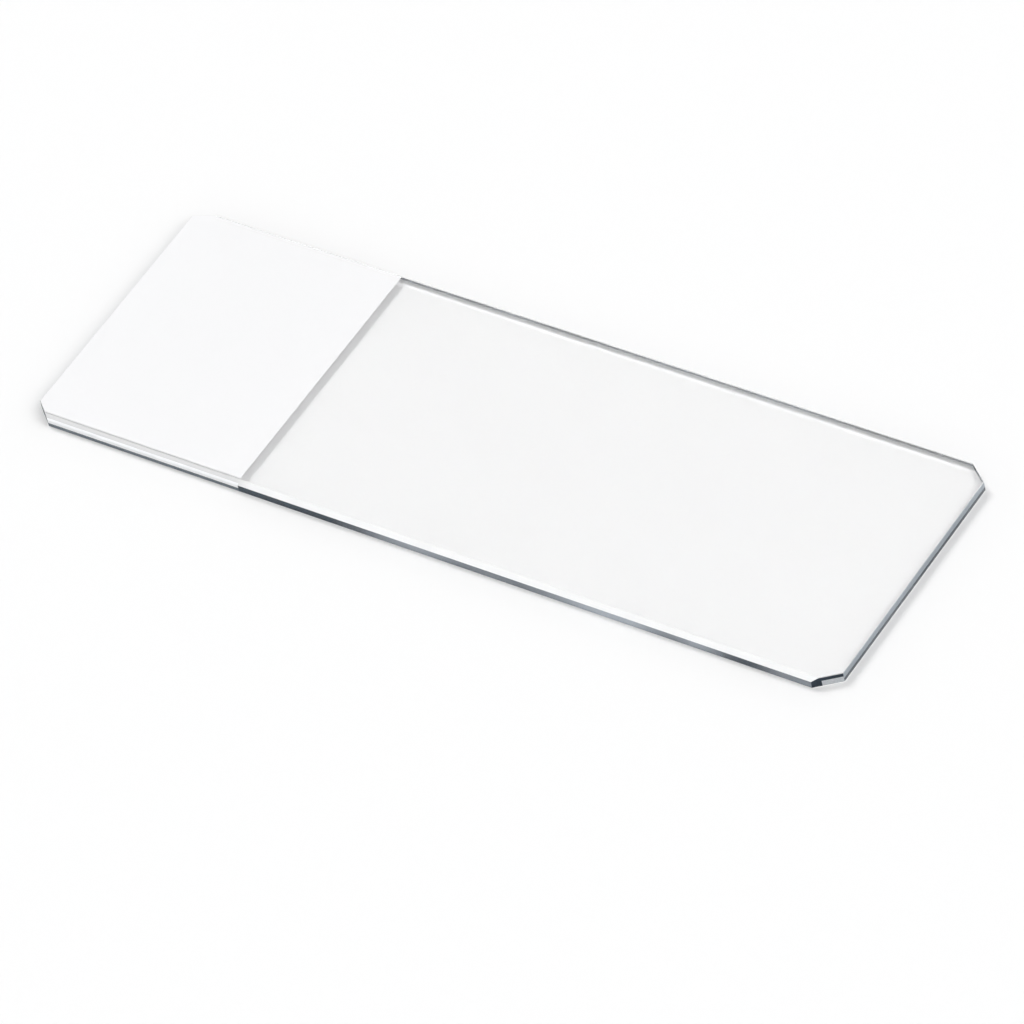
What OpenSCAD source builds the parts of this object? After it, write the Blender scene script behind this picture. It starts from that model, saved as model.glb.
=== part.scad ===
// Microscope slide: a thin glass plate with clipped corners and bevelled long sides,
// and a white coat printed over one end for writing on.
// +X runs from the printed end to the plain end, +Z is up, and the origin is
// the middle of the face that lies on the stage.

/* [Glass plate] */
// Length, along X
plate_length = 75; // [60:0.5:100]
// Width, along Y
plate_width = 25; // [20:0.5:40]
// Thickness, along Z
plate_thickness = 1; // [0.8:0.05:1.5]
// Width of the 45 degree seam that breaks every arris without a bevel
seam = 0.05; // [0.02:0.01:0.2]

/* [Bevels ground along the top of the long sides] */
// Width on the top face, near side (-Y)
bevel_near = 0.45; // [0.1:0.05:0.5]
// Width on the top face, far side (+Y)
bevel_far = 0.2; // [0.1:0.05:0.5]
// Slope below the top face, in degrees
bevel_slope = 34; // [20:1:45]

/* [Clipped corners: length along X, then along Y] */
// Corner at the printed end, on the near side (-Y)
clip_near_printed = [1.6, 1.4]; // [0.6:0.1:4]
// Corner at the plain end, on the near side (-Y)
clip_near_plain = [2, 1.6]; // [0.6:0.1:4]
// Corner at the plain end, on the far side (+Y)
clip_far_plain = [1.9, 1.5]; // [0.6:0.1:4]
// Corner at the printed end, on the far side (+Y)
clip_far_printed = [2, 0.9]; // [0.6:0.1:4]

/* [Marking coat] */
// How far the coat reaches from the printed end
coat_length = 20; // [10:0.5:30]
// Thickness of the dried coat
coat_thickness = 0.02; // [0.01:0.005:0.1]
// Strip of bare glass between the coat and the near edge
coat_gap = 0.5; // [0.2:0.05:2]

/* [Hidden] */

half_length = plate_length / 2;
half_width = plate_width / 2;
// Longer than the plate in every direction, for the solids that are trimmed to it
reach = plate_length + plate_width;

// Each side of the outline is [direction it faces in degrees, distance from the middle,
// width taken off its top arris, depth taken off its top arris]
function end_side(direction) = [direction, half_length, seam, seam];
function long_side(direction, bevel) = [direction, half_width, bevel, bevel * tan(bevel_slope)];

// The slanting side that clips the corner on side x_sign, y_sign by clip[0] along X and clip[1] along Y
function clip_side(x_sign, y_sign, clip) = [
    atan2(y_sign * clip[0], x_sign * clip[1]),
    (half_length * clip[1] + half_width * clip[0] - clip[0] * clip[1]) / norm(clip),
    seam,
    seam
];

SIDES = [
    end_side(0),
    clip_side(1, 1, clip_far_plain),
    long_side(90, bevel_far),
    clip_side(-1, 1, clip_far_printed),
    end_side(180),
    clip_side(-1, -1, clip_near_printed),
    long_side(-90, bevel_near),
    clip_side(1, -1, clip_near_plain)
];

// Half of an endless plate that stops at one straight side: bevelled above, seamed below
module half_plate(side) {
    edge = side[1];
    rotate([90, 0, 0])
        linear_extrude(height = 2 * reach, center = true)
            polygon([
                [-reach, 0],
                [edge - seam, 0],
                [edge, seam],
                [edge, plate_thickness - side[3]],
                [edge - side[2], plate_thickness],
                [-reach, plate_thickness]
            ]);
}

// The flat face that is left between the bevels and seams
module face_outline() {
    intersection_for (side = SIDES)
        rotate(side[0])
            translate([-reach, -reach])
                square([reach + side[1] - side[2], 2 * reach]);
}

// Where the coat is printed: the whole width of one end, but for a strip along the near edge
module printed_area() {
    translate([-half_length, coat_gap - half_width])
        square([coat_length, plate_width]);
}

// Float glass, cut to an eight-sided outline, where the finishes of neighbouring sides meet in a mitre
module glass_plate() {
    color([0.88, 0.93, 0.95, 0.4])
        intersection_for (side = SIDES)
            rotate(side[0]) half_plate(side);
}

// White ink, baked on the top face
module marking_coat() {
    color([0.97, 0.97, 0.97])
        translate([0, 0, plate_thickness])
            linear_extrude(height = coat_thickness)
                intersection() {
                    face_outline();
                    printed_area();
                }
}

glass_plate();
marking_coat();
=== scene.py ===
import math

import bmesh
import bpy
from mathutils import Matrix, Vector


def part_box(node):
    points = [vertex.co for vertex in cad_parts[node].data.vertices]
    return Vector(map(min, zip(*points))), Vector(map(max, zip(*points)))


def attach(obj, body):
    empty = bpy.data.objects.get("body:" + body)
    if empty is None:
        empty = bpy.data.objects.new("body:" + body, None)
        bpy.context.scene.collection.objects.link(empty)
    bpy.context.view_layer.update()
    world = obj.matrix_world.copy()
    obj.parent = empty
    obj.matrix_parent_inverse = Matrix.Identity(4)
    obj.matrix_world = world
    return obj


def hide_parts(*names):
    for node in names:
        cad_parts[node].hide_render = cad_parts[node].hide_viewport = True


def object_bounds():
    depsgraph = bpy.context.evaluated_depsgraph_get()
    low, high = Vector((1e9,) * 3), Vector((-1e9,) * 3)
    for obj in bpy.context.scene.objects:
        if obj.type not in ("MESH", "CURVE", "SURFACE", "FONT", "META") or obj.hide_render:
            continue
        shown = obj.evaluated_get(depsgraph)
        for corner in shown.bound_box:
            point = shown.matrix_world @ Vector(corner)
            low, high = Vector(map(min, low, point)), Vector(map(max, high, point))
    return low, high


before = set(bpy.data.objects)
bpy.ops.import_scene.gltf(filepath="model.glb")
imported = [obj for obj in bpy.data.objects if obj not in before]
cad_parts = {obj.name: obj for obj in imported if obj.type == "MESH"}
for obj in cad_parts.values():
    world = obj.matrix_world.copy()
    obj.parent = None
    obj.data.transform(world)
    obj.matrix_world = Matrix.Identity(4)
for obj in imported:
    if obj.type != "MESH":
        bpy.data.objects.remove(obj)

# A microscope slide lies on a white studio table: a plate of float glass with ground bevels
# along its long sides, cut ends and clipped corners, and white ink baked on one end.
# X runs from the printed end to the plain end, and the near long side is the one at -Y.
# Lengths below are in millimetres until MM turns them to metres.

cad_low, cad_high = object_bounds()
MM = 0.001
scene = bpy.context.scene


def srgb(hex_colour):
    """An sRGB hex colour as the linear RGBA that shaders take."""
    parts = [int(hex_colour[i:i + 2], 16) / 255 for i in (1, 3, 5)]
    return (*[c / 12.92 if c <= 0.04045 else ((c + 0.055) / 1.055) ** 2.4 for c in parts], 1.0)


WHITE = srgb("#ffffff")


def add(tree, kind, inputs=None, links=None, **settings):
    """Adds a node with its settings, its sockets' values and the outputs linked into it.

    A socket goes by its name, or by its number where several have the same name.
    """
    node = tree.nodes.new(kind)
    for name, value in settings.items():
        setattr(node, name, value)
    for name, value in (inputs or {}).items():
        node.inputs[name].default_value = value
    for name, output in (links or {}).items():
        tree.links.new(output, node.inputs[name])
    return node


def empty_material(name):
    material = bpy.data.materials.new(name)
    material.use_nodes = True
    material.node_tree.nodes.clear()
    return material, material.node_tree


def unit_vector(azimuth, elevation):
    """The direction at a compass angle, from +Y towards +X, and at a height above the table, in degrees."""
    a, e = math.radians(azimuth), math.radians(elevation)
    return Vector((math.sin(a) * math.cos(e), math.cos(a) * math.cos(e), math.sin(e)))


# Camera

def make_camera():
    """Looks down on the near long side from the plain end, with a long lens."""
    target = Vector((4.03, -5.75, 0)) * MM
    distance = 722.4 * MM
    azimuth, elevation, roll = 139.09, 45.25, math.radians(-12.88)
    back = unit_vector(azimuth, elevation)
    level = Vector((0, 0, 1)).cross(back).normalized()
    upright = back.cross(level)
    right = level * math.cos(roll) + upright * math.sin(roll)
    up = upright * math.cos(roll) - level * math.sin(roll)
    lens = bpy.data.cameras.new("camera")
    lens.sensor_width = 36
    lens.lens = 323.7
    lens.clip_start, lens.clip_end = 10 * MM, 20000 * MM
    camera = bpy.data.objects.new("camera", lens)
    turn = Matrix((right, up, back)).transposed().to_4x4()
    camera.matrix_world = Matrix.Translation(target + back * distance) @ turn
    scene.collection.objects.link(camera)
    scene.camera = camera


# Materials

def plate_masks(tree, place):
    """Masks that tell the plate's finishes apart, by how each face is turned and by where it is.

    A normal has a Z of 1 on the flat faces, 0.83 on the bevels, 0.71 on the seams and 0 on the sides.
    Its Y is -1 on the near side and about -0.77 on the near clips, and its X is 1 or -1 on the ends.
    """
    # Heights that bound the ink band, the painted light on the ends and the painted reflection low down, and
    # where the plain tip with that reflection starts
    upper_part_bottom, painted_reflection_top, ink_top = 0.4 * MM, 0.6 * MM, 0.8 * MM
    plain_tip_start = 36.15 * MM
    coat_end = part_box("marking_coat")[1][0]
    geometry = add(tree, "ShaderNodeNewGeometry")
    normal = add(tree, "ShaderNodeSeparateXYZ", links={0: geometry.outputs["True Normal"]}).outputs
    upward = add(tree, "ShaderNodeMath", links={0: normal["Z"]}, operation="ABSOLUTE").outputs[0]
    endward = add(tree, "ShaderNodeMath", links={0: normal["X"]}, operation="ABSOLUTE").outputs[0]
    spot = add(tree, "ShaderNodeSeparateXYZ", links={0: place}).outputs
    masks = {}
    for name, value, test, limit in (
        ("sloping", upward, "LESS_THAN", 0.97),
        ("upright", upward, "LESS_THAN", 0.3),
        ("nearward", normal["Y"], "LESS_THAN", -0.3),
        ("near_side", normal["Y"], "LESS_THAN", -0.95),
        ("clip_or_end", endward, "GREATER_THAN", 0.6),
        ("end", endward, "GREATER_THAN", 0.95),
        ("upper", spot["Z"], "GREATER_THAN", upper_part_bottom),
        ("lower", spot["Z"], "LESS_THAN", painted_reflection_top),
        ("below_rim", spot["Z"], "LESS_THAN", ink_top),
        ("plain_tip", spot["X"], "GREATER_THAN", plain_tip_start),
        ("printed", spot["X"], "LESS_THAN", coat_end),
    ):
        masks[name] = add(tree, "ShaderNodeMath", {1: limit}, {0: value}, operation=test).outputs[0]
    for name, one, other in (
        # Beside the coat the near side carries an even painted shade
        ("painted_shade_coated_side", "near_side", "printed"),
        ("coated_edge", "nearward", "printed"),
        ("band", "upper", "below_rim"),
        ("inked", "coated_edge", "band"),
        ("near_clip", "clip_or_end", "nearward"),
        ("lower_edge", "upright", "lower"),
        # Low down at the plain tip, a painted reflection of the table
        ("painted_reflection_low_tip", "lower_edge", "plain_tip"),
        # The upper part of each end, painted lighter as painted light
        ("painted_light_end_top", "end", "upper"),
    ):
        both = add(tree, "ShaderNodeMath", links={0: masks[one], 1: masks[other]}, operation="MULTIPLY")
        masks[name] = both.outputs[0]
    return masks


def float_glass():
    """Soda-lime float glass, cut and ground.

    The faces are as the molten tin left them, clear and smooth. The bevels and seams are fine-ground,
    so they look like satin and stay white. The long sides and the clips are cut and glassy, and a grey
    painted shade tints the glass seen through them, in faint light and dark stretches. The far ones are
    otherwise clear. The near side is painted slate-grey shade in stretches. Beside the coat it is white
    higher up, where ink ran over its edge, and an even painted shade below, and the near clips are
    painted nearly black as shade. Low down on the clips at the plain end, a painted reflection of the
    table makes them look frosted. The ends are painted dark slate as shade, and their upper part is
    duller and painted lighter as painted light.
    """
    material, tree = empty_material("float_glass_cut_and_ground")
    place = add(tree, "ShaderNodeTexCoord").outputs["Object"]
    masks = plate_masks(tree, place)

    # Painted shade in stretches 11 mm long along the cut sides, dark and light in turn. They are moved
    # along so that the darkest one comes just past the coat
    along = add(tree, "ShaderNodeMapping", {"Location": (999 * MM, 0, 0)}, {"Vector": place})
    shade_stretches = add(tree, "ShaderNodeTexNoise", {"Scale": 1 / (11 * MM), "Detail": 1.0},
                  {"Vector": along.outputs[0]}).outputs[0]
    # Marks of the grinding belt along a bevel, 25 times as long as wide. They are 0.01 mm apart, and
    # drawn 0.08 mm apart to show
    stretch = add(tree, "ShaderNodeMapping", {"Scale": (1 / 25, 1, 1)}, {"Vector": place})
    marks = add(tree, "ShaderNodeTexNoise", {"Scale": 1 / (0.08 * MM), "Detail": 2.0},
                {"Vector": stretch.outputs[0]}).outputs[0]

    # Each finish covers the ones before: its mask, the two colours that its pattern runs between,
    # how much of it is matte, its roughness and its pattern. The pattern's noise is at its dark
    # colour where it is under `darkest`, and at its light one where it is over `lightest`
    darkest, lightest = 0.4, 0.65
    colour = add(tree, "ShaderNodeRGB").outputs[0]
    matte = add(tree, "ShaderNodeValue").outputs[0]
    rough = add(tree, "ShaderNodeValue").outputs[0]
    colour.default_value, matte.default_value, rough.default_value = WHITE, 0.0, 0.0
    for name, dark, light, share, roughness, pattern in (
        ("sloping", "#fafbfc", "#ffffff", 0.7, 0.1, marks),
        # Cut sides: a grey painted shade tints the glass seen through them, in stretches
        ("upright", "#8c949c", "#dce0e4", 0.0, 0.1, shade_stretches),
        # Near side: painted slate-grey shade, dark and light in stretches
        ("near_side", "#0c2436", "#c8d0d8", 0.55, 0.15, shade_stretches),
        # Near side beside the coat: an even painted grey shade
        ("painted_shade_coated_side", "#626e78", "#727e88", 0.65, 0.15, marks),
        ("inked", "#f4f6f8", "#fafbfc", 1.0, 0.5, marks),
        # Near clips: painted nearly black, as shade
        ("near_clip", "#14222e", "#1c2c3a", 0.85, 0.8, marks),
        # Low at the plain tip: light grey, a painted reflection of the table
        ("painted_reflection_low_tip", "#c0c4c8", "#d0d4d8", 0.8, 0.4, marks),
        # Ends: painted dark slate shade
        ("end", "#48525c", "#6c747c", 0.6, 0.15, shade_stretches),
        # Upper part of each end: painted lighter, as painted light
        ("painted_light_end_top", "#98a0a8", "#a8b0b8", 0.8, 0.4, shade_stretches),
    ):
        mask = masks[name]
        depth = add(tree, "ShaderNodeMapRange", {1: darkest, 2: lightest}, {0: pattern})
        tint = add(tree, "ShaderNodeMix", {6: srgb(dark), 7: srgb(light)}, {0: depth.outputs[0]},
                   data_type="RGBA")
        colour = add(tree, "ShaderNodeMix", links={0: mask, 6: colour, 7: tint.outputs[2]},
                     data_type="RGBA").outputs[2]
        matte = add(tree, "ShaderNodeMix", {3: share}, {0: mask, 2: matte}).outputs[0]
        rough = add(tree, "ShaderNodeMix", {3: roughness}, {0: mask, 2: rough}).outputs[0]
    clear = add(tree, "ShaderNodeMath", {0: 1.0}, {1: matte}, operation="SUBTRACT")
    surface = add(tree, "ShaderNodeBsdfPrincipled", {"IOR": 1.52}, {
        "Base Color": colour,
        "Roughness": rough,
        "Transmission Weight": clear.outputs[0],
    })
    # Iron in the glass takes 0.6% of the red light per millimetre, and less of the blue
    body = add(tree, "ShaderNodeVolumeAbsorption", {"Color": srgb("#005995"), "Density": 0.006 / MM})
    add(tree, "ShaderNodeOutputMaterial", links={"Surface": surface.outputs[0], "Volume": body.outputs[0]})
    return material


def baked_ink():
    """White ceramic ink, screen-printed and baked.

    It is matte, with the faint grain of the screen, and thin enough to let some light through.
    """
    share_let_through = 0.15
    material, tree = empty_material("ceramic_ink_screen_printed")
    place = add(tree, "ShaderNodeTexCoord")
    # Grain of the screen's mesh, 0.15 mm
    grain = add(tree, "ShaderNodeTexNoise", {"Scale": 1 / (0.15 * MM), "Detail": 3.0},
                {"Vector": place.outputs["Object"]})
    # Clouds 5 mm across, where the ink dried a little thinner
    cloud = add(tree, "ShaderNodeTexNoise", {"Scale": 1 / (5 * MM), "Detail": 2.0},
                {"Vector": place.outputs["Object"]})
    colour = add(tree, "ShaderNodeMix", {6: srgb("#fafafb"), 7: srgb("#fdfdfe")}, {0: cloud.outputs[0]},
                 data_type="RGBA")
    rough = add(tree, "ShaderNodeMapRange", {3: 0.5, 4: 0.7}, {0: grain.outputs[0]})
    bump = add(tree, "ShaderNodeBump", {"Strength": 0.2, "Distance": 0.002 * MM},
               {"Height": grain.outputs[0]})
    top = add(tree, "ShaderNodeBsdfPrincipled", {"IOR": 1.5}, {
        "Base Color": colour.outputs[2],
        "Roughness": rough.outputs[0],
        "Normal": bump.outputs[0],
    })
    through = add(tree, "ShaderNodeBsdfTranslucent", links={"Color": colour.outputs[2]})
    both = add(tree, "ShaderNodeMixShader", {0: share_let_through},
               {1: top.outputs[0], 2: through.outputs[0]})
    add(tree, "ShaderNodeOutputMaterial", links={"Surface": both.outputs[0]})
    return material


# Pieces

def use(node, material):
    """Gives a CAD node's mesh the material."""
    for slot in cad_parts[node].material_slots:
        slot.material = material


def print_ink(material):
    """The marking coat, with the rounded rim that ink dries to.

    It reaches 3 microns into the glass, because ink that only touched it would leave a film of air
    between them, and the glass under it would look silvered.
    """
    sink = 0.003 * MM
    rim = 0.012 * MM
    form = bmesh.new()
    form.from_mesh(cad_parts["marking_coat"].data)
    bmesh.ops.remove_doubles(form, verts=form.verts, dist=0.001 * MM)
    bmesh.ops.dissolve_limit(form, angle_limit=0.01, verts=form.verts, edges=form.edges)
    low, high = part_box("marking_coat")
    middle = (low[2] + high[2]) / 2
    for vertex in form.verts:
        if vertex.co.z < middle:
            vertex.co.z -= sink
    top_edges = [e for e in form.edges if all(v.co.z > middle for v in e.verts)]
    bmesh.ops.bevel(form, geom=top_edges, offset=rim, segments=3, profile=0.5, affect="EDGES")
    bmesh.ops.recalc_face_normals(form, faces=form.faces)
    mesh = bpy.data.meshes.new("ink_coat")
    form.to_mesh(mesh)
    form.free()
    mesh.materials.append(material)
    coat = bpy.data.objects.new("ink_coat", mesh)
    scene.collection.objects.link(coat)
    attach(coat, "root")
    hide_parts("marking_coat")


# Studio

def make_table():
    """A white laminate table, matte and plain. It gives off a little light where it is seen, so that it
    shows as white. It lies just under the slide, so that their faces don't coincide."""
    half = 2000 * MM
    gap = 0.02 * MM
    glow_strength = 0.1
    z = cad_low[2] - gap
    mesh = bpy.data.meshes.new("table")
    corners = [(-half, -half, z), (half, -half, z), (half, half, z), (-half, half, z)]
    mesh.from_pydata(corners, [], [(0, 1, 2, 3)])
    table = bpy.data.objects.new("table", mesh)
    scene.collection.objects.link(table)
    material, tree = empty_material("white_laminate")
    board = add(tree, "ShaderNodeBsdfDiffuse", {"Color": srgb("#e8e8e8")})
    path = add(tree, "ShaderNodeLightPath")
    seen = add(tree, "ShaderNodeMath", operation="ADD",
               links={0: path.outputs["Is Camera Ray"], 1: path.outputs["Is Glossy Ray"]})
    shown = add(tree, "ShaderNodeMath", operation="ADD", use_clamp=True,
                links={0: seen.outputs[0], 1: path.outputs["Is Transmission Ray"]})
    level = add(tree, "ShaderNodeMath", {1: glow_strength}, {0: shown.outputs[0]}, operation="MULTIPLY")
    glow = add(tree, "ShaderNodeEmission", {"Color": WHITE}, {"Strength": level.outputs[0]})
    both = add(tree, "ShaderNodeAddShader", links={0: board.outputs[0], 1: glow.outputs[0]})
    add(tree, "ShaderNodeOutputMaterial", links={"Surface": both.outputs[0]})
    mesh.materials.append(material)


def make_light():
    """A white tent: bright walls, a dimmer ceiling, a softbox at the back left and a dim wide one at
    the right."""
    walls, walls_end, ceiling = 1.0, 20, 0.43
    softboxes = (  # compass angle, angle from straight up, half width, brightness
        (-70, 38, 12, 9.1),
        (88, 45, 22, 2.85),
    )
    blur = 3
    world = bpy.data.worlds.new("tent")
    scene.world = world
    world.use_nodes = True
    tree = world.node_tree
    tree.nodes.clear()
    direction = add(tree, "ShaderNodeTexCoord").outputs["Generated"]
    height = add(tree, "ShaderNodeSeparateXYZ", links={0: direction})
    level = add(tree, "ShaderNodeMapRange", {
        1: math.sin(math.radians(walls_end - blur)), 2: math.sin(math.radians(walls_end + blur)),
        3: walls, 4: ceiling,
    }, {0: height.outputs["Z"]}, interpolation_type="SMOOTHSTEP")
    for azimuth, tilt, half, brightness in softboxes:
        toward = add(tree, "ShaderNodeVectorMath", {1: unit_vector(azimuth, 90 - tilt)}, {0: direction},
                     operation="DOT_PRODUCT")
        patch = add(tree, "ShaderNodeMapRange", {
            1: math.cos(math.radians(half + blur)), 2: math.cos(math.radians(half - blur)),
            3: 0.0, 4: brightness,
        }, {0: toward.outputs["Value"]}, interpolation_type="SMOOTHSTEP")
        level = add(tree, "ShaderNodeMath", links={0: level.outputs[0], 1: patch.outputs[0]}, operation="ADD")
    back = add(tree, "ShaderNodeBackground", {"Color": WHITE}, {"Strength": level.outputs[0]})
    add(tree, "ShaderNodeOutputWorld", links={"Surface": back.outputs[0]})


make_camera()
make_table()
make_light()
use("glass_plate", float_glass())
print_ink(baked_ink())
scene.view_settings.view_transform = "Standard"
# Light reaches the table through the glass only if its rays aren't blurred or cut short
scene.cycles.blur_glossy = 0.0
scene.cycles.max_bounces = scene.cycles.transmission_bounces = scene.cycles.glossy_bounces = 64
